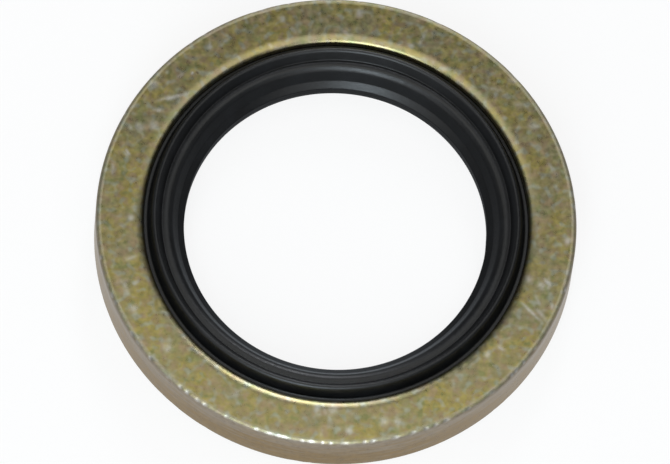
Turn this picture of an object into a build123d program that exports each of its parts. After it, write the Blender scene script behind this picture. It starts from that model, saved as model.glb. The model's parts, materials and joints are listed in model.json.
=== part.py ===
from build123d import *
import os
from math import cos, radians, sin, tan

# Bonded sealing washer of the self-centring pattern, for a 3/8 inch BSP port.
# A flat steel ring takes the clamp load. A rubber seal is moulded inside it and bonded to its bore.
# Millimetres and degrees. The origin is on the bolt's axis at mid-thickness, and +Z is that axis.

# The three radial sizes build outwards from the bore to an outer diameter of 23.8
centring_diameter = 15.0        # bore of the seal, in the root of the thread
seal_width = 2.05               # from the centring bore to the bond
ring_width = 2.35               # from the bond to the outside of the steel

# Steel ring
ring_thickness = 2.85
ring_rim_radius = 0.20          # tumbled rounding of the two outer edges
bore_edge_width = 0.55          # along the face, of the rolled-over bore edges
bore_edge_drop = 0.20           # down the bore, of the same quarter ellipse

# Sealing lips, one on each face
lip_inset = 0.55                # from the bond to the middle of the crest
lip_rise = 0.36                 # crest above the steel face, squeezed flat when clamped
lip_crest_radius = 0.14
lip_inner_angle = 60.0          # of the flank towards the bore, from the plane of the ring
lip_outer_angle = 75.0          # of the flank towards the steel

# Moat between the lip and the steel, where squeezed rubber goes
moat_depth = 0.42               # below the steel face
moat_root_radius = 0.12

# Foot groove, the fine line between the lip and the inner bevel
groove_depth = 0.13             # below the steel face
groove_width = 0.42             # from its bottom to the bevel's top corner
groove_root_radius = 0.03

# Centring web inside the lips
land_height = 0.60              # cylindrical wall of the centring bore
land_edge_radius = 0.10
shoulder_width = 0.32           # from the centring bore to the foot of the bevel
shoulder_rise = 0.30            # of the shoulder over that width
bevel_foot_radius = 0.12
bevel_top_radius = 0.40

# Places that follow from the sizes above: radii from the axis, heights from mid-thickness
centring_r = centring_diameter / 2
bond_r = centring_r + seal_width
ring_outer_r = bond_r + ring_width
face_z = ring_thickness / 2

moat_z = face_z - moat_depth
groove_z = face_z - groove_depth
land_z = land_height / 2

crest_r = bond_r - lip_inset
crest_centre_z = face_z + lip_rise - lip_crest_radius
inner_angle = radians(lip_inner_angle)
outer_angle = radians(lip_outer_angle)
# The two flanks, drawn on past the rounded crest, meet at a point above it.
flank_reach = lip_crest_radius / sin(inner_angle + outer_angle)
apex_r = crest_r + flank_reach * (cos(inner_angle) - cos(outer_angle))
apex_z = crest_centre_z + flank_reach * (sin(inner_angle) + sin(outer_angle))
moat_foot_r = apex_r + (apex_z - moat_z) / tan(outer_angle)
groove_r = apex_r - (apex_z - groove_z) / tan(inner_angle)
bevel_top_r = groove_r - groove_width
bevel_foot_r = centring_r + shoulder_width


def make_steel_ring():
    """Flat ring blanked from sheet: its bore edges are rolled over, its outer edges rounded by tumbling."""
    edge_r = bond_r + bore_edge_width
    edge_z = face_z - bore_edge_drop
    with BuildPart() as ring:
        with BuildSketch(Plane.XZ) as section:
            with BuildLine():
                Line((bond_r, -edge_z), (bond_r, edge_z))
                EllipticalCenterArc((edge_r, edge_z), bore_edge_width, bore_edge_drop, 90, arc_size=90)
                Polyline((edge_r, face_z), (ring_outer_r, face_z), (ring_outer_r, -face_z), (edge_r, -face_z))
                EllipticalCenterArc((edge_r, -edge_z), bore_edge_width, bore_edge_drop, 180, arc_size=90)
            make_face()
            fillet(section.vertices().group_by(Axis.X)[-1], ring_rim_radius)
        revolve(axis=Axis.Z)
    return ring.part


def make_rubber_seal():
    """One moulding: bonded wall, moats, lips, foot grooves, bevels and centring land."""
    upper_corners = [
        ((centring_r, land_z), land_edge_radius),
        ((bevel_foot_r, land_z + shoulder_rise), bevel_foot_radius),
        ((bevel_top_r, face_z), bevel_top_radius),
        ((groove_r, groove_z), groove_root_radius),
        ((apex_r, apex_z), lip_crest_radius),
        ((moat_foot_r, moat_z), moat_root_radius),
        ((bond_r, moat_z), 0),
    ]
    lower_corners = [((r, -z), rounding) for (r, z), rounding in reversed(upper_corners)]
    corners = upper_corners + lower_corners
    with BuildPart() as seal:
        with BuildSketch(Plane.XZ):
            with BuildLine():
                FilletPolyline(
                    [point for point, rounding in corners],
                    radius=[rounding for point, rounding in corners],
                    close=True,
                )
            make_face()
        revolve(axis=Axis.Z)
    return seal.part


os.makedirs("parts", exist_ok=True)
export_step(make_steel_ring(), "parts/steel_ring.step")
export_step(make_rubber_seal(), "parts/rubber_seal.step")
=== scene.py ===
"""Bonded sealing washer: a plated steel ring with a rubber seal moulded into its bore.

Both pieces are turned from true sections, then marked by making and wear: parting flash, nicks,
dents, scratches and mottled plating. They stand on a pale floor in soft light.
Lengths are in metres. The axis of the bore is Z, and the middle of the thickness is at height 0.
"""

import json
from math import ceil, cos, pi, radians, sin, sqrt, tan

import bpy
import numpy as np
from bpy.props import FloatProperty, FloatVectorProperty, IntProperty, PointerProperty
from bpy.types import Operator, Panel, PropertyGroup
from mathutils import Matrix, Vector


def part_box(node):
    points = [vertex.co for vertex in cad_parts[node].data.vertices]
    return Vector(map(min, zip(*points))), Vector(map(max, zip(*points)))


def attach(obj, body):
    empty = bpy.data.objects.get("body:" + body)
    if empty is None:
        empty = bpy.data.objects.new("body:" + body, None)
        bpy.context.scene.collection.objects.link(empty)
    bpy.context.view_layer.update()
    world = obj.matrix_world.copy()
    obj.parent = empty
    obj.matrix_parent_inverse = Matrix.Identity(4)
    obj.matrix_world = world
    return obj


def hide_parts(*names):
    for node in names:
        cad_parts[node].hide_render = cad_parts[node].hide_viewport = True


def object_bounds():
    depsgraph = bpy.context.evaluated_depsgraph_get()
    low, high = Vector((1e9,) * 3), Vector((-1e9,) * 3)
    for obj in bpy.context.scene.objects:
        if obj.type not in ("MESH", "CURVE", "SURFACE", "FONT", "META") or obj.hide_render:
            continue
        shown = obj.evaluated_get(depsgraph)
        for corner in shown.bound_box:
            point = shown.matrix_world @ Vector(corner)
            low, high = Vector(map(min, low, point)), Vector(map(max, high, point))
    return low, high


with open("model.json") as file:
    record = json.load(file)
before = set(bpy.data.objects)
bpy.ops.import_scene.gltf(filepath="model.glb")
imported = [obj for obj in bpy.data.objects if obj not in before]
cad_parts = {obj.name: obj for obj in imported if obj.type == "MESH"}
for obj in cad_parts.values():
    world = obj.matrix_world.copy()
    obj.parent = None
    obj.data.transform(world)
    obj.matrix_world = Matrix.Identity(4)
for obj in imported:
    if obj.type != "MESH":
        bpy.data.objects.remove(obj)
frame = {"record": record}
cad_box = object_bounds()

bl_info = {
    "name": "Bonded Sealing Washer",
    "version": (1, 0, 0),
    "blender": (4, 5, 0),
    "location": "View3D > Sidebar > Washer",
    "description": "Builds the plated ring, the moulded seal and the stage of a bonded sealing washer",
    "category": "Add Mesh",
}

MM = 0.001
BODY = "root"
ARC_STEP = radians(10)  # largest turn between two points of a rounded corner
WHITE = (1.0, 1.0, 1.0, 1.0)

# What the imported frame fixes
RING_LOW, RING_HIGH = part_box("steel_ring")
SEAL_LOW, SEAL_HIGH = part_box("rubber_seal")
RIM_R = RING_HIGH.x
FACE_Z = RING_HIGH.z
BOND_R = SEAL_HIGH.x
CREST_Z = SEAL_HIGH.z
CENTRING_R = frame["record"]["mounts"][0]["dims"]["r_mm"] * MM


# ---------------------------------------------------------------- marks of making and wear


# Bareness is 0 where the plating's film is whole and 1 where the zinc is bare.

# Pale scratches on the upper face: start x and y, end x and y, half width and depth in mm, bareness
SCRATCHES = (
    (-9.68, 5.15, -7.85, 5.87, 0.08, 0.0010, 0.7),
    (-9.20, 5.28, -8.50, 5.60, 0.10, 0.0017, 0.9),
    (-9.55, 4.65, -9.25, 4.75, 0.08, 0.0014, 0.7),
    (-10.81, 2.49, -10.49, 2.02, 0.08, 0.0014, 0.7),
    (-11.32, 1.62, -11.24, 0.94, 0.08, 0.0014, 0.6),
    (-8.75, 6.55, -8.35, 6.85, 0.09, 0.0010, 0.5),
    (-7.30, 8.75, -7.25, 8.20, 0.10, 0.0010, 0.5),
    (10.50, -1.75, 10.95, -2.15, 0.11, 0.0014, 0.8),
    (10.75, -1.50, 10.80, -2.50, 0.08, 0.0010, 0.5),
    (9.46, -3.10, 10.64, -4.09, 0.08, 0.0014, 0.6),
    (8.53, -5.59, 9.06, -5.84, 0.10, 0.0010, 0.6),
    (11.05, -3.00, 11.10, -3.40, 0.09, 0.0010, 0.5),
)

# Rubbed spots on the upper face: x, y and half width in mm, bareness
SPOTS = (
    (-9.53, 3.87, 0.20, 0.6),
    (-10.68, 3.60, 0.12, 0.5),
    (9.72, -1.91, 0.22, 0.5),
    (-7.97, 6.90, 0.07, 1.0),
)
SPOT_DEPTH = 0.002 * MM

# Pit on the upper face: x, y, half width and depth in mm
PIT = (-7.74, 6.96, 0.07, 0.02)

# Nicks along the upper rim: place around in degrees and half length in mm
NICKS = (
    (-163.0, 0.12), (-152.9, 0.16), (-142.1, 0.16), (-134.5, 0.12), (-124.2, 0.12), (-122.0, 0.12),
    (-118.9, 0.16), (-116.8, 0.14), (-110.9, 0.12), (-103.1, 0.18), (-99.8, 0.24), (-96.8, 0.40),
    (-91.8, 0.14), (-89.7, 0.20), (-87.0, 0.10), (-85.0, 0.10), (-81.7, 0.20), (-76.9, 0.12),
    (-74.9, 0.12), (-69.3, 0.20), (-65.1, 0.16), (-61.7, 0.14), (-59.2, 0.14), (-56.4, 0.20),
    (-50.2, 0.14), (-36.5, 0.14), (-35.1, 0.14), (-32.2, 0.10), (-10.7, 0.12),
)
NICK_HALF_TALL = 0.12 * MM
NICK_DEPTH = 0.030 * MM

# Further wear of the ring: lowest and highest values, lengths in mm
CHANCE_NICKS = 0.6  # share of the dents that are nicks in an edge
CHANCE_NICK_HALF_LENGTH = (0.1, 0.3)
CHANCE_NICK_DEPTH = (0.010, 0.025)
DENT_HALF_WIDTH = (0.14, 0.24)
DENT_DEPTH = (0.002, 0.005)
DENT_BARENESS = 0.6
DENT_MARGIN = 0.2 * MM  # from the bond to the nearest dent's middle
SCRATCH_LENGTH = (0.3, 1.2)
SCRATCH_HALF_WIDTH = (0.09, 0.12)
SCRATCH_DEPTH = (0.0007, 0.0018)
SCRATCH_BARENESS = (0.15, 0.5)
SCRATCH_END = 0.15  # what is left of a scratch's depth at its ends

# Finish of the ring's edges
RIM_BARENESS = 0.22
BORE_BARENESS = 0.08
BORE_FADE = 0.3 * MM  # over which the bare bore edge fades into the face
WALL_START = 0.4  # how far in from the wall its film starts, as a share of the rim's rounding
WALL_FADE = 0.3  # over which it fades in, as a share of the rim's rounding

# Marks of the seal: lowest and highest values, lengths in mm
RUBBER_DENT_HALF_WIDTH = (0.1, 0.2)
RUBBER_DENT_DEPTH = (0.002, 0.008)
RUBBER_DENT_MARGINS = (0.2 * MM, 0.3 * MM)  # from the centring bore and from the bond
RUBBER_DENT_Z = 0.9 * FACE_Z
LAND_BAND = 0.02 * MM  # points this near to the centring bore are on its land
FLASH_HALF_WIDTH = 0.03 * MM


# ---------------------------------------------------------------- patterns of the finishes


MOST_NOISE = (0.3, 0.7)  # most values of a noise pattern lie between these

# Sizes of the plating's patterns, and the noise levels from which and up to which each comes in,
# some with the strengths that it has there
FILM_PATCH, FILM_PATCH_IN = 1.6 * MM, (0.40, 0.62)
TINT, TAN_IN, GREEN_IN = 0.50 * MM, (0.50, 0.66, 0.0, 0.8), (0.46, 0.32, 0.0, 0.8)
FLECK, FLECK_IN = 0.36 * MM, (0.54, 0.78, 0.0, 0.6)
RUB_PATCH, RUB_IN = 0.3 * MM, (0.35, 0.6, 0.6, 1.0)
GRAIN, GRAIN_SHADE = 0.30 * MM, (0.86, 1.14)
FLECK_SHIFT, GRAIN_SHIFT = 4.0 * MM, 9.0 * MM  # keep these patterns from lining up with the others
STEEL_ROUGHNESS = (-0.02, 0.04)  # how far the grain changes the film's roughness
BLUNTING = 0.32  # roughness that tumbling adds to the rim's rounding
STEEL_PEEL, STEEL_PEEL_HEIGHT = 0.40 * MM, 0.003 * MM
STEEL_FINE, STEEL_FINE_HEIGHT = 0.16 * MM, 0.0005 * MM

WALL_STREAK, WALL_STREAK_SHIFT = 0.5 * MM, (-0.55, 0.55)
WALL_STRETCH = (0.25, 0.25, 3.0)  # makes the streaks long around the ring and thin up the wall
WALL_BANDS = (-0.2 * MM, 1.1 * MM)  # heights between which the torn band turns into the burnished one

BLOOM_PATCH, BLOOM_IN = 1.6 * MM, (0.45, 0.7)
SKIN_GRAIN, SKIN_HEIGHT = 0.09 * MM, 0.002 * MM
RUBBER_ROUGHNESS = (-0.05, 0.10)  # how far the skin's grain changes its roughness
RIPPLE, RIPPLE_HEIGHT = 0.35 * MM, 0.005 * MM

FLOOR_PATCH = 40 * MM
# Painted reflection: where the floor that glossy surfaces see goes from painted light at the near side of
# the bore to painted shade at its back, and from the ring's foot to a dimmer floor far off
PAINTED_BORE_SHADE_Y = (-5 * MM, 1 * MM)  # where the mirrored floor goes from near to back
PAINTED_FAR_DIM_R = (20 * MM, 60 * MM)  # where it goes from the ring's foot to far off


# ---------------------------------------------------------------- lamps, room and camera


# Lamps: name, heading from +Y towards +X and height above the floor in degrees, distance, width and
# height in mm, brightness where 1 is a white card's, and tint
LAMPS = (
    ("overhead_softbox", 0, 84.5, 122, 160, 62, 1.22, (1.0, 1.0, 0.96)),
    ("near_softbox", 187, 68, 200, 160, 110, 0.55, (1.0, 0.99, 0.97)),
    ("front_softbox", 187, 27, 300, 600, 300, 0.70, (1.0, 0.99, 0.97)),
    ("front_panel", 187, 42, 300, 120, 300, 3.8, (0.80, 0.92, 1.0)),
    ("front_strip", 186, 42, 300, 44, 240, 4.8, (0.74, 0.89, 1.0)),
    ("back_strip", 3, 38, 300, 66, 140, 8.0, (0.92, 0.95, 1.0)),
)

# Where the room's walls fade in and where they end, as parts of a direction of length 1
BACK_WALL, BACK_WALL_TOP = (0.80, 0.92), (0.36, 0.44)
SIDE_WALLS, SIDE_WALL_TOP = (0.70, 0.82), (0.72, 0.84)

SENSOR_WIDTH = 36.0  # in millimetres, as the lens is
CAMERA_RANGE = (0.01, 10.0)  # nearest and furthest distance that it sees


# ---------------------------------------------------------------- settings


# Short forms of the properties that the settings hold
def length(name, description, millimetres):
    return FloatProperty(
        name=name, description=description, default=millimetres * MM, min=0.0, precision=6, unit="LENGTH"
    )


def angle(name, description, degrees):
    return FloatProperty(name=name, description=description, default=radians(degrees), subtype="ANGLE")


def colour(name, description, rgb):
    return FloatVectorProperty(
        name=name, description=description, default=(*rgb, 1.0), size=4, min=0.0, max=1.0, subtype="COLOR"
    )


def share(name, description, default):
    return FloatProperty(
        name=name, description=description, default=default, min=0.0, max=1.0, subtype="FACTOR"
    )


def count(name, description, default, least=0):
    return IntProperty(name=name, description=description, default=default, min=least)


class RingSettings(PropertyGroup):
    """Sizes, wear and colours of the plated ring"""

    rim_radius: length("Rim rounding", "Rounding of the two outer edges, from tumbling", 0.20)
    bore_edge_width: length("Bore edge width", "Width along the face of the rolled-over bore edges", 0.55)
    bore_edge_drop: length("Bore edge drop", "Drop down the bore of the rolled-over bore edges", 0.20)
    face_step: length("Face step", "Largest distance between vertices across the faces", 0.09)
    wall_step: length("Wall step", "Largest distance between vertices up the wall", 0.18)
    turns: count("Steps around", "Vertices around the ring", 1000, least=64)
    dents: count("Dents", "Knocks on the edges and faces", 60)
    scratches: count("Scratches", "Scratches on each face", 40)
    seed: count("Seed", "Picks the places of the wear", 7)
    gold: colour("Gold film", "Full yellow passivation film", (0.360, 0.300, 0.105))
    grey: colour("Grey film", "Thin film, nearer to bare zinc", (0.300, 0.270, 0.150))
    tan: colour("Tan film", "Film with a pinkish interference tint", (0.350, 0.265, 0.160))
    green: colour("Green film", "Film with a green interference tint", (0.240, 0.250, 0.105))
    pale: colour("Pale film", "Film with a pale blue interference tint", (0.360, 0.385, 0.315))
    bare: colour("Bare zinc", "Zinc where the film has rubbed off", (0.720, 0.700, 0.650))
    pit: colour("Pit", "Bottom of a pit in the plating", (0.05, 0.04, 0.02))
    wall_mauve: colour("Upper wall", "Film on the wall's burnished band", (0.310, 0.252, 0.185))
    wall_brown: colour("Lower wall", "Film on the wall's torn band", (0.262, 0.172, 0.064))
    roughness: share("Roughness", "Roughness of the film", 0.29)


class SealSettings(PropertyGroup):
    """Section, marks and colours of the moulded seal"""

    lip_inset: length("Lip inset", "From the bond to the middle of the crest", 0.55)
    lip_crest_radius: length("Crest rounding", "Rounding of the lip's crest", 0.14)
    lip_inner_angle: angle("Inner flank", "Flank towards the bore, from the ring's plane", 60.0)
    lip_outer_angle: angle("Outer flank", "Flank towards the steel, from the ring's plane", 75.0)
    moat_depth: length("Moat depth", "Depth of the moat below the steel face", 0.42)
    moat_root_radius: length("Moat root", "Rounding at the foot of the outer flank", 0.12)
    groove_depth: length("Groove depth", "Depth of the foot groove below the steel face", 0.13)
    groove_width: length("Groove width", "From the groove's bottom to the bevel's top corner", 0.42)
    groove_root_radius: length("Groove root", "Rounding of the groove's bottom", 0.03)
    land_height: length("Land height", "Cylindrical wall of the centring bore", 0.60)
    land_edge_radius: length("Land edge", "Rounding of the land's two edges", 0.10)
    shoulder_width: length("Shoulder width", "From the centring bore to the foot of the bevel", 0.32)
    shoulder_rise: length("Shoulder rise", "Rise of the shoulder over its width", 0.30)
    bevel_foot_radius: length("Bevel foot", "Rounding between the shoulder and the bevel", 0.12)
    bevel_top_radius: length("Bevel top", "Rounding of the bevel's top edge", 0.40)
    section_step: length("Section step", "Largest distance between vertices along it", 0.10)
    turns: count("Steps around", "Vertices around the seal", 640, least=64)
    flash_height: length("Flash height", "Height of the mould's parting flash on the land", 0.02)
    dents: count("Dents", "Shallow hollows in the rubber", 40)
    seed: count("Seed", "Picks the places of the dents", 11)
    rubber: colour("Rubber", "Black nitrile rubber", (0.0022, 0.0024, 0.0028))
    bloom: colour("Bloom", "Faint grey bloom on the rubber", (0.0050, 0.0055, 0.0065))
    roughness: share("Roughness", "Roughness of the moulded skin", 0.35)


class StageSettings(PropertyGroup):
    """Camera, floor and room"""

    tilt: angle("Camera tilt", "Angle of the camera from the axis", 22.3)
    roll: angle("Camera roll", "Roll of the camera", 6.87)
    camera_distance: length("Camera distance", "From the camera to the washer", 714.0)
    lens: FloatProperty(
        name="Lens", description="Focal length in millimetres", default=776.5, subtype="DISTANCE_CAMERA"
    )
    aim_y: length("Aim", "How far in front of the axis the camera aims", 0.641)
    floor_size: length("Floor size", "Side of the square floor", 4000.0)
    floor: colour("Floor", "Pale floor", (0.93, 0.93, 0.93))
    floor_patches: colour("Floor patches", "Paler patches of the floor", (0.95, 0.95, 0.945))
    # Painted reflection: colours of an emission that glossy surfaces see in place of the floor, with
    # painted light at the near side of the bore and at the ring's foot, painted shade at the back of the
    # bore, and a dimmer floor far off
    painted_lit_near_bore: colour("Near bore, mirrored", "Near floor that the seal mirrors", (0.62, 0.68, 0.74))
    painted_shade_back_bore: colour("Back bore, mirrored", "Back floor that the seal mirrors", (0.20, 0.21, 0.22))
    painted_lit_foot: colour("Foot, mirrored", "Lit floor that the ring's wall mirrors", (0.76, 0.77, 0.77))
    painted_dim_far_floor: colour("Far floor, mirrored", "Distant floor, mirrored", (0.180, 0.195, 0.205))
    glow: share("Floor glow", "How much of the floor the camera sees as even white", 0.86)
    sky: colour("Sky", "Light of the room", (0.93, 0.96, 1.0))
    sky_strength: share("Sky strength", "Strength of the room's light", 0.06)
    back_wall: share("Back wall", "Brightness of the low wall behind the washer", 0.85)
    side_walls: share("Side walls", "Brightness of the walls at both sides", 0.22)


# ---------------------------------------------------------------- turned meshes


def rounded_outline(corners):
    """Closed outline as rows of (radius, height, roundness).

    The corners are (radius, height, rounding, step) and run anticlockwise with the radius to the right.
    Step is the largest distance between points along the straight run that follows the corner. A fifth
    value flattens the rounding to that share of its width. Roundness is 1 on a rounded corner.
    """
    arcs = []
    for i, (r, z, rounding, step, *flatness) in enumerate(corners):
        flat = flatness[0] if flatness else 1
        around = (corners[i - 1], corners[i], corners[(i + 1) % len(corners)])
        before, here, after = [Vector((corner[0], corner[1] / flat)) for corner in around]
        back = (before - here).normalized()
        onward = (after - here).normalized()
        if not rounding:
            arcs.append([(r, z, 0.0)])
            continue
        half = back.angle(onward) / 2
        sweep = pi - 2 * half
        steps = max(3, ceil(sweep / (ARC_STEP * sqrt(flat))))
        centre = here + (back + onward).normalized() * (rounding / sin(half))
        start = here + back * (rounding / tan(half)) - centre
        turn = 1 if back.cross(onward) < 0 else -1
        arc = []
        for k in range(steps + 1):
            point = centre + Matrix.Rotation(turn * sweep * k / steps, 2) @ start
            arc.append((point.x, point.y * flat, 1.0))
        arcs.append(arc)
    rows = []
    for i, arc in enumerate(arcs):
        rows += arc
        a, b = Vector(arc[-1][:2]), Vector(arcs[(i + 1) % len(arcs)][0][:2])
        pieces = ceil((b - a).length / corners[i][3])
        for k in range(1, pieces):
            point = a.lerp(b, k / pieces)
            rows.append((point.x, point.y, 0.0))
    return np.array(rows)


class Turning:
    """A closed surface turned about Z, as a grid of points that wear can push along their normals.

    The grid has a row for each step around and a column for each point of the outline.
    """

    def __init__(self, outline, turns):
        self.turns, self.rows = turns, len(outline)
        along = np.roll(outline[:, :2], -1, 0) - np.roll(outline[:, :2], 1, 0)
        normal = np.stack([along[:, 1], -along[:, 0]], 1)
        normal /= np.linalg.norm(normal, axis=1)[:, None]
        angle = np.linspace(0, 2 * pi, turns, endpoint=False)
        self.angle = np.repeat(angle[:, None], self.rows, 1)
        self.radius = np.repeat(outline[None, :, 0], turns, 0)
        self.height = np.repeat(outline[None, :, 1], turns, 0)
        self.roundness = np.repeat(outline[None, :, 2], turns, 0)
        self.place = self.spin(outline[:, 0], outline[:, 1], angle)
        self.normal = self.spin(normal[:, 0], normal[:, 1], angle)
        self.push = np.zeros((turns, self.rows))
        self.marks = {}

    @staticmethod
    def spin(r, z, angle):
        x = np.outer(np.cos(angle), r)
        y = np.outer(np.sin(angle), r)
        return np.stack([x, y, np.broadcast_to(z, x.shape)], 2)

    def mark(self, name, strength):
        """Adds to a named mark, which the material reads to vary the finish."""
        self.marks[name] = np.maximum(self.marks.get(name, 0.0), strength)

    def dent(self, centre, half_width, depth):
        """Presses a round hollow, and returns its shape from 0 to 1."""
        far = ((self.place - centre) ** 2).sum(2)
        shape = np.exp(-far / half_width**2)
        self.push -= depth * shape
        return shape

    def nick(self, angle, r, z, half_long, half_tall, depth):
        """Flattens an edge near (r, z) over a short run around, and returns its shape from 0 to 1."""
        along = ((self.angle - angle + pi) % (2 * pi) - pi) * r
        aside = (self.radius - r) ** 2 + (self.height - z) ** 2
        shape = np.exp(-((along / half_long) ** 2) - aside / half_tall**2)
        self.push -= depth * shape
        return shape

    def scratch(self, start, end, half_width, depth):
        """Presses a straight groove that fades at its ends, and returns its shape from 0 to 1."""
        run = end - start
        t = ((self.place - start) @ run) / (run @ run)
        nearest = start + np.clip(t, 0, 1)[..., None] * run
        far = ((self.place - nearest) ** 2).sum(2)
        shape = np.exp(-far / half_width**2) * np.clip(4 * t * (1 - t), SCRATCH_END, 1)
        self.push -= depth * shape
        return shape

    def make(self, name, material, limit_low, limit_high):
        """Makes the object, kept inside the given corners."""
        place = self.place + self.normal * self.push[..., None]
        place = np.clip(place, np.array(limit_low), np.array(limit_high))
        i, j = np.meshgrid(np.arange(self.turns), np.arange(self.rows), indexing="ij")
        i2, j2 = (i + 1) % self.turns, (j + 1) % self.rows
        quads = np.stack([a * self.rows + b for a, b in ((i, j), (i2, j), (i2, j2), (i, j2))], 2)
        mesh = bpy.data.meshes.new(name)
        mesh.from_pydata(place.reshape(-1, 3).tolist(), [], quads.reshape(-1, 4).tolist())
        for mark, strength in self.marks.items():
            layer = mesh.attributes.new(mark, "FLOAT", "POINT")
            layer.data.foreach_set("value", np.clip(strength, 0, 1).astype(np.float32).ravel())
        mesh.shade_smooth()
        mesh.materials.append(material)
        piece = bpy.data.objects.new(name, mesh)
        bpy.context.scene.collection.objects.link(piece)
        return piece


# ---------------------------------------------------------------- node materials


class Nodes:
    """Nodes of a material or a room, added one by one; an input is a value or another node's output."""

    def __init__(self, owner):
        owner.use_nodes = True
        self.tree = owner.node_tree
        self.tree.nodes.clear()

    def add(self, kind, inputs=None, **settings):
        node = self.tree.nodes.new("ShaderNode" + kind)
        for key, value in settings.items():
            setattr(node, key, value)
        for key, value in (inputs or {}).items():
            if isinstance(value, bpy.types.NodeSocket):
                self.tree.links.new(value, node.inputs[key])
            else:
                node.inputs[key].default_value = value
        return node

    def spread(self, value, low, high, to_low=0.0, to_high=1.0):
        inputs = {"Value": value, "From Min": low, "From Max": high, "To Min": to_low, "To Max": to_high}
        return self.add("MapRange", inputs).outputs["Result"]

    def maths(self, operation, a, b=0.0):
        return self.add("Math", {0: a, 1: b}, operation=operation).outputs[0]


class Finish(Nodes):
    """A material, with the patterns and bumps that make up its finish."""

    def __init__(self, name):
        self.material = bpy.data.materials.new(name)
        super().__init__(self.material)

    def place(self):
        return self.add("TexCoord").outputs["Object"]

    def shifted(self, distance):
        """Place for a pattern that is moved by the distance along each axis."""
        return self.add("Mapping", {"Vector": self.place(), "Location": (distance,) * 3}).outputs[0]

    def stretched(self, scale):
        """Place for a pattern whose features are divided by the scale along each axis."""
        return self.add("Mapping", {"Vector": self.place(), "Scale": scale}).outputs[0]

    def noise(self, feature, detail, at=None, roughness=0.55):
        inputs = {
            "Vector": at or self.place(), "Scale": 1 / feature, "Detail": detail, "Roughness": roughness,
        }
        return self.add("TexNoise", inputs).outputs["Fac"]

    def mark(self, name):
        """Strength of a mark that making or wear left on the surface."""
        return self.add("Attribute", attribute_name=name).outputs["Fac"]

    def mix(self, amount, a, b, blend="MIX"):
        """Mixes two colours, which the Mix node takes at its inputs 6 and 7."""
        node = self.add("Mix", {0: amount, 6: a, 7: b}, data_type="RGBA", blend_type=blend)
        return node.outputs[2]

    def bump(self, height, distance, under=None):
        inputs = {"Height": height, "Distance": distance}
        if under:
            inputs["Normal"] = under
        return self.add("Bump", inputs).outputs["Normal"]

    def surface(self, shader):
        self.add("OutputMaterial", {"Surface": shader})
        return self.material


def mottled_film(f, settings):
    """Gold film with grey patches and with tan, green and pale interference tints."""
    patches = f.spread(f.noise(FILM_PATCH, 3), *FILM_PATCH_IN)
    tint = f.noise(TINT, 2)
    fleck = f.noise(FLECK, 0, at=f.shifted(FLECK_SHIFT))
    film = f.mix(patches, tuple(settings.gold), tuple(settings.grey))
    film = f.mix(f.spread(tint, *TAN_IN), film, tuple(settings.tan))
    film = f.mix(f.spread(tint, *GREEN_IN), film, tuple(settings.green))
    return f.mix(f.spread(fleck, *FLECK_IN), film, tuple(settings.pale))


def blanked_wall(f, settings):
    """Film on the blanked wall: a brown torn band below a mauve burnished one, with streaks."""
    height = f.add("SeparateXYZ", {0: f.place()}).outputs["Z"]
    streaks = f.noise(WALL_STREAK, 4, at=f.stretched(WALL_STRETCH))
    shift = f.spread(streaks, *MOST_NOISE, *WALL_STREAK_SHIFT)
    band = f.maths("ADD", f.spread(height, *WALL_BANDS), shift)
    return f.mix(band, tuple(settings.wall_brown), tuple(settings.wall_mauve))


def grained_roughness(f, grain, roughness, changes):
    """Roughness that a grain takes down and up by the two changes."""
    smoothest, roughest = [roughness + change for change in changes]
    return f.spread(grain, *MOST_NOISE, smoothest, roughest)


def plated_steel(settings):
    """Zinc plate with a mottled yellow passivation, rubbed bare on its edges and scratches."""
    f = Finish("plated_steel")
    grain = f.noise(GRAIN, 1.5, at=f.shifted(GRAIN_SHIFT))
    film = f.mix(f.mark("wall"), mottled_film(f, settings), blanked_wall(f, settings))
    shade = f.spread(grain, *MOST_NOISE, *GRAIN_SHADE)
    grey = f.add("CombineColor", {"Red": shade, "Green": shade, "Blue": shade}).outputs[0]
    film = f.mix(1.0, film, grey, "MULTIPLY")
    film = f.mix(f.mark("pit"), film, tuple(settings.pit))
    rub = f.maths("MULTIPLY", f.mark("rubbed"), f.spread(f.noise(RUB_PATCH, 2), *RUB_IN))
    base = f.mix(rub, film, tuple(settings.bare))
    blunt = f.maths("MULTIPLY", f.mark("blunt"), f.maths("SUBTRACT", 1.0, rub))
    rough = grained_roughness(f, grain, settings.roughness, STEEL_ROUGHNESS)
    rough = f.maths("ADD", rough, f.maths("MULTIPLY", blunt, BLUNTING))
    peel = f.bump(f.noise(STEEL_PEEL, 2), STEEL_PEEL_HEIGHT)
    fine = f.bump(f.noise(STEEL_FINE, 1), STEEL_FINE_HEIGHT, under=peel)
    shader = f.add("BsdfPrincipled", {
        "Base Color": base, "Metallic": 1.0, "Roughness": rough, "Normal": fine,
    })
    return f.surface(shader.outputs["BSDF"])


def seal_rubber(settings):
    """Black nitrile rubber with a satin moulded skin and a faint bloom."""
    f = Finish("seal_rubber")
    patches = f.spread(f.noise(BLOOM_PATCH, 4), *BLOOM_IN)
    base = f.mix(patches, tuple(settings.rubber), tuple(settings.bloom))
    skin = f.noise(SKIN_GRAIN, 4, roughness=0.6)
    rough = grained_roughness(f, skin, settings.roughness, RUBBER_ROUGHNESS)
    ripple = f.bump(f.noise(RIPPLE, 3), RIPPLE_HEIGHT)
    fine = f.bump(skin, SKIN_HEIGHT, under=ripple)
    shader = f.add("BsdfPrincipled", {"Base Color": base, "Roughness": rough, "Normal": fine})
    return f.surface(shader.outputs["BSDF"])


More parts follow.
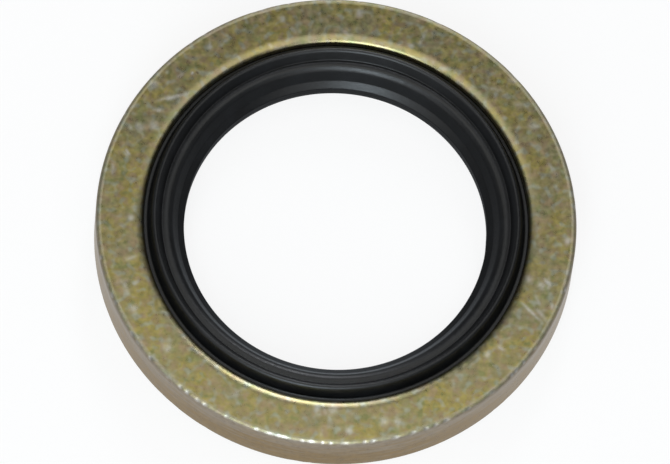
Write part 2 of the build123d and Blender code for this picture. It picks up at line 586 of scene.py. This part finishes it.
def painted_floor_reflection(f, settings):
    """Painted reflection: an emission that glossy surfaces see in place of the floor, with painted light at
    the near side of the bore and at the ring's foot, painted shade at the back of the bore, and dimmer far
    off.
    """
    away = f.add("VectorMath", {0: f.place()}, operation="LENGTH").outputs["Value"]
    ahead = f.add("SeparateXYZ", {0: f.place()}).outputs["Y"]
    near, back = tuple(settings.painted_lit_near_bore), tuple(settings.painted_shade_back_bore)
    floor = f.mix(f.spread(ahead, *PAINTED_BORE_SHADE_Y), near, back)
    floor = f.mix(f.spread(away, BOND_R, RIM_R), floor, tuple(settings.painted_lit_foot))
    floor = f.mix(f.spread(away, *PAINTED_FAR_DIM_R), floor, tuple(settings.painted_dim_far_floor))
    return f.add("Emission", {"Color": floor}).outputs["Emission"]


def pale_floor(settings):
    """Pale floor that the camera sees as nearly white, with the washer's shadow on it."""
    f = Finish("pale_floor")
    patches = f.spread(f.noise(FLOOR_PATCH, 2), *MOST_NOISE)
    paint = f.mix(patches, tuple(settings.floor), tuple(settings.floor_patches))
    path = f.add("LightPath").outputs
    lit = f.add("BsdfDiffuse", {"Color": paint}).outputs["BSDF"]
    glow = f.add("Emission", {"Color": WHITE}).outputs["Emission"]
    share_seen = f.maths("MULTIPLY", path["Is Camera Ray"], settings.glow)
    seen = f.add("MixShader", {0: share_seen, 1: lit, 2: glow}).outputs["Shader"]
    # Glossy rays see the painted reflection instead of the lit floor
    floor = f.add("MixShader", {0: path["Is Glossy Ray"], 1: seen, 2: painted_floor_reflection(f, settings)})
    return f.surface(floor.outputs["Shader"])


# ---------------------------------------------------------------- pieces


def ring_corners(settings):
    """Corners of the ring's section, anticlockwise from the lower edge of the bore."""
    edge, flatness = settings.bore_edge_width, settings.bore_edge_drop / settings.bore_edge_width
    rim = settings.rim_radius
    bond_step = 2 * FACE_Z  # the bond is hidden, so it needs no points between its ends
    return [
        (BOND_R, -FACE_Z, edge, settings.face_step, flatness),
        (RIM_R, -FACE_Z, rim, settings.wall_step),
        (RIM_R, FACE_Z, rim, settings.face_step),
        (BOND_R, FACE_Z, edge, bond_step, flatness),
    ]


def face_point(x, y):
    """Point on the upper face, from x and y in mm."""
    return np.array([x * MM, y * MM, FACE_Z])


def turned_point(angle, r, z):
    """Point at an angle around the axis, a radius and a height."""
    return np.array([r * cos(angle), r * sin(angle), z])


def rim_place(settings, angle, side=1):
    """Angle, radius and height of the middle of the rim's rounding; side is -1 on the lower face."""
    inset = settings.rim_radius * (1 - cos(radians(45)))
    return angle, RIM_R - inset, side * (FACE_Z - inset)


class WASHER_OT_add_ring(Operator):
    """Add the plated steel ring, with its rounded edges, dents and scratches"""

    bl_idname = "washer.add_ring"
    bl_label = "Add Plated Ring"

    def execute(self, context):
        settings = context.scene.washer_ring
        turning = Turning(rounded_outline(ring_corners(settings)), settings.turns)
        self.edge_marks(turning, settings)
        self.own_marks(turning, settings)
        self.chance_marks(turning, settings)
        ring = turning.make("plated_ring", plated_steel(settings), RING_LOW, RING_HIGH)
        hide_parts("steel_ring")
        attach(ring, BODY)
        return {"FINISHED"}

    def edge_marks(self, turning, settings):
        """Where the wall's film starts, and the edges that tumbling leaves rubbed and blunt."""
        wall_r = RIM_R - WALL_START * settings.rim_radius
        fade = WALL_FADE * settings.rim_radius
        turning.mark("wall", np.clip((turning.radius - wall_r) / fade, 0, 1))
        rim = turning.roundness * (turning.radius > (BOND_R + RIM_R) / 2)
        bore_edge = np.clip((BOND_R + settings.bore_edge_width - turning.radius) / BORE_FADE, 0, 1)
        turning.mark("rubbed", RIM_BARENESS * rim + BORE_BARENESS * bore_edge)
        turning.mark("blunt", rim)

    def own_marks(self, turning, settings):
        """The scratches, spots, pit and nicks that this washer has."""
        for x1, y1, x2, y2, half_width, depth, bareness in SCRATCHES:
            shape = turning.scratch(face_point(x1, y1), face_point(x2, y2), half_width * MM, depth * MM)
            turning.mark("rubbed", bareness * shape)
        for x, y, half_width, bareness in SPOTS:
            shape = turning.dent(face_point(x, y), half_width * MM, SPOT_DEPTH)
            turning.mark("rubbed", bareness * shape)
        x, y, half_width, depth = PIT
        turning.mark("pit", turning.dent(face_point(x, y), half_width * MM, depth * MM))
        for degrees, half_long in NICKS:
            place = rim_place(settings, radians(degrees))
            shape = turning.nick(*place, half_long * MM, NICK_HALF_TALL, NICK_DEPTH)
            turning.mark("rubbed", shape)

    def chance_marks(self, turning, settings):
        """Further wear on both faces and all edges, in places that the seed picks."""
        rng = np.random.default_rng(settings.seed)
        for _ in range(settings.dents):
            side = rng.choice([-1, 1])
            angle = rng.uniform(0, 2 * pi)
            if rng.random() < CHANCE_NICKS:
                place = rim_place(settings, angle, side)
                depth = rng.uniform(*CHANCE_NICK_DEPTH) * MM
                half_long = rng.uniform(*CHANCE_NICK_HALF_LENGTH) * MM
                shape = turning.nick(*place, half_long, NICK_HALF_TALL, depth)
            else:
                centre = turned_point(angle, rng.uniform(BOND_R + DENT_MARGIN, RIM_R), side * FACE_Z)
                half_width = rng.uniform(*DENT_HALF_WIDTH) * MM
                shape = turning.dent(centre, half_width, rng.uniform(*DENT_DEPTH) * MM)
            turning.mark("rubbed", DENT_BARENESS * shape)
        for side in (-1, 1):
            for _ in range(settings.scratches):
                angle = rng.uniform(0, 2 * pi)
                start = turned_point(angle, rng.uniform(BOND_R, RIM_R), side * FACE_Z)
                heading = rng.uniform(0, 2 * pi)
                end = start + turned_point(heading, rng.uniform(*SCRATCH_LENGTH) * MM, 0.0)
                half_width = rng.uniform(*SCRATCH_HALF_WIDTH) * MM
                shape = turning.scratch(start, end, half_width, rng.uniform(*SCRATCH_DEPTH) * MM)
                turning.mark("rubbed", rng.uniform(*SCRATCH_BARENESS) * shape)


def seal_corners(settings):
    """Corners of the seal's section, anticlockwise from the upper end of the bond."""
    inner, outer = settings.lip_inner_angle, settings.lip_outer_angle
    reach = settings.lip_crest_radius / sin(inner + outer)
    apex_r = BOND_R - settings.lip_inset + reach * (cos(inner) - cos(outer))
    apex_z = CREST_Z - settings.lip_crest_radius + reach * (sin(inner) + sin(outer))
    moat_z = FACE_Z - settings.moat_depth
    groove_z = FACE_Z - settings.groove_depth
    moat_foot_r = apex_r + (apex_z - moat_z) / tan(outer)
    groove_r = apex_r - (apex_z - groove_z) / tan(inner)
    land_z = settings.land_height / 2
    upper = [
        (BOND_R, moat_z, 0.0),
        (moat_foot_r, moat_z, settings.moat_root_radius),
        (apex_r, apex_z, settings.lip_crest_radius),
        (groove_r, groove_z, settings.groove_root_radius),
        (groove_r - settings.groove_width, FACE_Z, settings.bevel_top_radius),
        (CENTRING_R + settings.shoulder_width, land_z + settings.shoulder_rise, settings.bevel_foot_radius),
        (CENTRING_R, land_z, settings.land_edge_radius),
    ]
    corners = upper + [(r, -z, rounding) for r, z, rounding in reversed(upper)]
    bond_step = 2 * FACE_Z  # the bond is hidden, so it needs no points between its ends
    steps = [settings.section_step] * (len(corners) - 1) + [bond_step]
    return [(*corner, step) for corner, step in zip(corners, steps)]


class WASHER_OT_add_seal(Operator):
    """Add the moulded rubber seal, with its lips, grooves, bevels, land and parting flash"""

    bl_idname = "washer.add_seal"
    bl_label = "Add Moulded Seal"

    def execute(self, context):
        settings = context.scene.washer_seal
        turning = Turning(rounded_outline(seal_corners(settings)), settings.turns)
        self.parting_flash(turning, settings)
        self.rubber_dents(turning, settings)
        seal = turning.make("moulded_seal", seal_rubber(settings), SEAL_LOW, SEAL_HIGH)
        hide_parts("rubber_seal")
        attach(seal, BODY)
        return {"FINISHED"}

    def parting_flash(self, turning, settings):
        """Uneven line around the middle of the land, where the two halves of the mould meet."""
        on_land = turning.radius < CENTRING_R + LAND_BAND
        flash = np.exp(-((turning.height / FLASH_HALF_WIDTH) ** 2)) * on_land
        uneven = np.sin(17 * turning.angle + 2 * np.sin(5 * turning.angle))
        turning.push += settings.flash_height * flash * (0.6 + 0.4 * uneven)

    def rubber_dents(self, turning, settings):
        """Shallow hollows on both sides, in places that the seed picks."""
        rng = np.random.default_rng(settings.seed)
        nearest, furthest = CENTRING_R + RUBBER_DENT_MARGINS[0], BOND_R - RUBBER_DENT_MARGINS[1]
        for _ in range(settings.dents):
            angle = rng.uniform(0, 2 * pi)
            r = rng.uniform(nearest, furthest)
            centre = turned_point(angle, r, rng.choice([-1, 1]) * RUBBER_DENT_Z)
            half_width = rng.uniform(*RUBBER_DENT_HALF_WIDTH) * MM
            turning.dent(centre, half_width, rng.uniform(*RUBBER_DENT_DEPTH) * MM)


# ---------------------------------------------------------------- stage


def add_lamp(name, heading, height, distance, width, tall, brightness, tint):
    """Rectangular lamp that faces the washer and that the camera doesn't see."""
    lamp = bpy.data.lights.new(name, "AREA")
    lamp.shape = "RECTANGLE"
    lamp.size, lamp.size_y = width * MM, tall * MM
    lamp.energy = brightness * pi * lamp.size * lamp.size_y
    lamp.color = tint
    heading, height = radians(heading), radians(height)
    away = Vector((sin(heading) * cos(height), cos(heading) * cos(height), sin(height)))
    box = bpy.data.objects.new(name, lamp)
    box.location = away * distance * MM
    box.rotation_euler = away.to_track_quat("Z", "Y").to_euler()
    box.visible_camera = False
    bpy.context.scene.collection.objects.link(box)


def add_camera(settings):
    """Camera that looks down on the washer from its near side, with a long lens."""
    tilt, roll = settings.tilt, settings.roll
    back = Vector((0, -sin(tilt), cos(tilt)))
    right = Vector((1, 0, 0))
    up = Vector((0, cos(tilt), sin(tilt)))
    rolled_right = cos(roll) * right + sin(roll) * up
    rolled_up = cos(roll) * up - sin(roll) * right
    data = bpy.data.cameras.new("camera")
    data.sensor_width = SENSOR_WIDTH
    data.lens = settings.lens
    data.clip_start, data.clip_end = CAMERA_RANGE
    camera = bpy.data.objects.new("camera", data)
    aim = Vector((0, -settings.aim_y, FACE_Z))
    turn = Matrix((rolled_right, rolled_up, back)).transposed().to_4x4()
    camera.matrix_world = Matrix.Translation(aim + back * settings.camera_distance) @ turn
    bpy.context.scene.collection.objects.link(camera)
    bpy.context.scene.camera = camera


def add_world(settings):
    """Dim room with pale low walls, white to the camera."""
    world = bpy.data.worlds.new("room")
    n = Nodes(world)
    towards = n.add("SeparateXYZ", {0: n.add("TexCoord").outputs["Generated"]}).outputs
    back = n.spread(towards["Y"], *BACK_WALL, 0.0, settings.back_wall)
    back = n.maths("MULTIPLY", back, n.spread(towards["Z"], *BACK_WALL_TOP, 1.0, 0.0))
    sides = n.spread(n.maths("ABSOLUTE", towards["X"]), *SIDE_WALLS, 0.0, settings.side_walls)
    sides = n.maths("MULTIPLY", sides, n.spread(towards["Z"], *SIDE_WALL_TOP, 1.0, 0.0))
    level = n.maths("ADD", n.maths("ADD", back, sides), settings.sky_strength)
    room = n.add("Background", {"Color": tuple(settings.sky), "Strength": level}).outputs[0]
    white = n.add("Background", {"Color": WHITE, "Strength": 1.0}).outputs[0]
    to_camera = n.add("LightPath").outputs["Is Camera Ray"]
    n.add("OutputWorld", {"Surface": n.add("MixShader", {0: to_camera, 1: room, 2: white}).outputs[0]})
    bpy.context.scene.world = world


def add_floor(settings):
    """Square floor that the washer lies on."""
    half, z = settings.floor_size / 2, cad_box[0].z
    corners = [(-half, -half, z), (half, -half, z), (half, half, z), (-half, half, z)]
    mesh = bpy.data.meshes.new("floor")
    mesh.from_pydata(corners, [], [(0, 1, 2, 3)])
    mesh.materials.append(pale_floor(settings))
    floor = bpy.data.objects.new("floor", mesh)
    bpy.context.scene.collection.objects.link(floor)


class WASHER_OT_set_stage(Operator):
    """Add the floor, the lamps, the room's light and the camera"""

    bl_idname = "washer.set_stage"
    bl_label = "Set Stage"

    def execute(self, context):
        settings = context.scene.washer_stage
        add_floor(settings)
        for lamp in LAMPS:
            add_lamp(*lamp)
        add_world(settings)
        add_camera(settings)
        context.scene.view_settings.view_transform = "Standard"
        return {"FINISHED"}


# ---------------------------------------------------------------- panel


class WASHER_PT_pieces(Panel):
    """The steps that build the washer, and their settings"""

    bl_label = "Sealing Washer"
    bl_space_type = "VIEW_3D"
    bl_region_type = "UI"
    bl_category = "Washer"

    def draw(self, context):
        layout = self.layout
        for step in STEPS:
            layout.operator(step.bl_idname)
        for group in (context.scene.washer_ring, context.scene.washer_seal, context.scene.washer_stage):
            column = layout.box().column()
            for name in group.__annotations__:
                column.prop(group, name)


STEPS = (WASHER_OT_add_ring, WASHER_OT_add_seal, WASHER_OT_set_stage)
CLASSES = (RingSettings, SealSettings, StageSettings, *STEPS, WASHER_PT_pieces)


def register():
    for cls in CLASSES:
        bpy.utils.register_class(cls)
    bpy.types.Scene.washer_ring = PointerProperty(type=RingSettings)
    bpy.types.Scene.washer_seal = PointerProperty(type=SealSettings)
    bpy.types.Scene.washer_stage = PointerProperty(type=StageSettings)


def unregister():
    del bpy.types.Scene.washer_stage
    del bpy.types.Scene.washer_seal
    del bpy.types.Scene.washer_ring
    for cls in reversed(CLASSES):
        bpy.utils.unregister_class(cls)


def main():
    register()
    bpy.ops.washer.add_ring()
    bpy.ops.washer.add_seal()
    bpy.ops.washer.set_stage()


if __name__ == "__main__":
    main()
